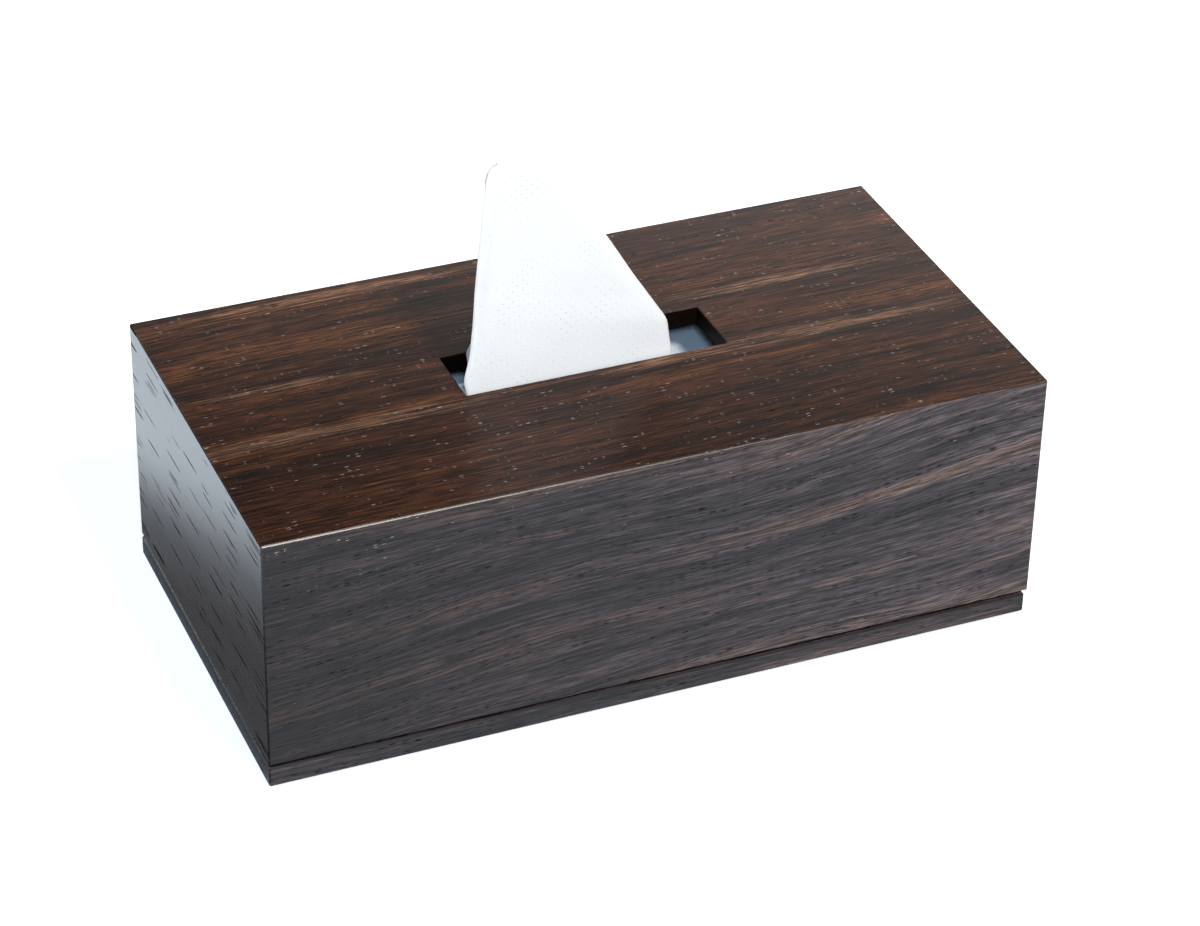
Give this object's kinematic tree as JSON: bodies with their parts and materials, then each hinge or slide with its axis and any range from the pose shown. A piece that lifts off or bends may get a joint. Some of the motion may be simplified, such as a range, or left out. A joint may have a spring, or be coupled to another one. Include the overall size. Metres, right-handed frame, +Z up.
{
  "type": "tissue box with drawer",
  "caption": "Rectangular dark wooden tissue box: a mitred cover with a slot in its top over a base board that slides out at the right end as a drawer holding the tissues.",
  "frame": {"origin": "on the surface the box stands on, under the centre of its outline", "axes": "+X along the box, the way the drawer opens; -Y is the front face; +Z up"},
  "size_m": [0.26, 0.135, 0.1654],
  "materials": {
    "dark_veneer": "satin",
    "edge_strip": "satin",
    "drawer_timber": "satin",
    "runner_timber": "satin",
    "zinc_steel": "satin",
    "magnet": "satin",
    "felt": "matte",
    "stacked_tissue": "matte",
    "tissue": "matte"
  },
  "bodies": {
    "cover": {"front_wall": "dark_veneer", "rear_wall": "dark_veneer", "left_end_wall": "dark_veneer", "top_panel": "dark_veneer", "front_edge_lipping": "edge_strip", "rear_edge_lipping": "edge_strip", "top_edge_lipping": "edge_strip", "corner_blocks": "drawer_timber", "top_blocks": "drawer_timber", "front_runner": "runner_timber", "rear_runner": "runner_timber", "runner_screws": "zinc_steel", "catch_magnets": "magnet"},
    "drawer": {"base_board": "dark_veneer", "drawer_front": "dark_veneer", "front_drawer_side": "drawer_timber", "rear_drawer_side": "drawer_timber", "drawer_back": "drawer_timber", "front_dowels": "drawer_timber", "base_screws": "zinc_steel", "catch_discs": "zinc_steel", "foot_pad_1": "felt", "foot_pad_2": "felt", "foot_pad_3": "felt", "foot_pad_4": "felt", "tissue_stack": "stacked_tissue"},
    "sheet": {"pulled_tissue": "tissue"}
  },
  "joints": [
    {"name": "drawer_slide", "type": "slide", "parent": "cover", "child": "drawer", "axis": [1, 0, 0], "range_m": [0, 0.262]},
    {"name": "tissue_pull", "type": "slide", "parent": "cover", "child": "sheet", "axis": [0, 0, 1], "range_m": [0, 0.12]}
  ]
}
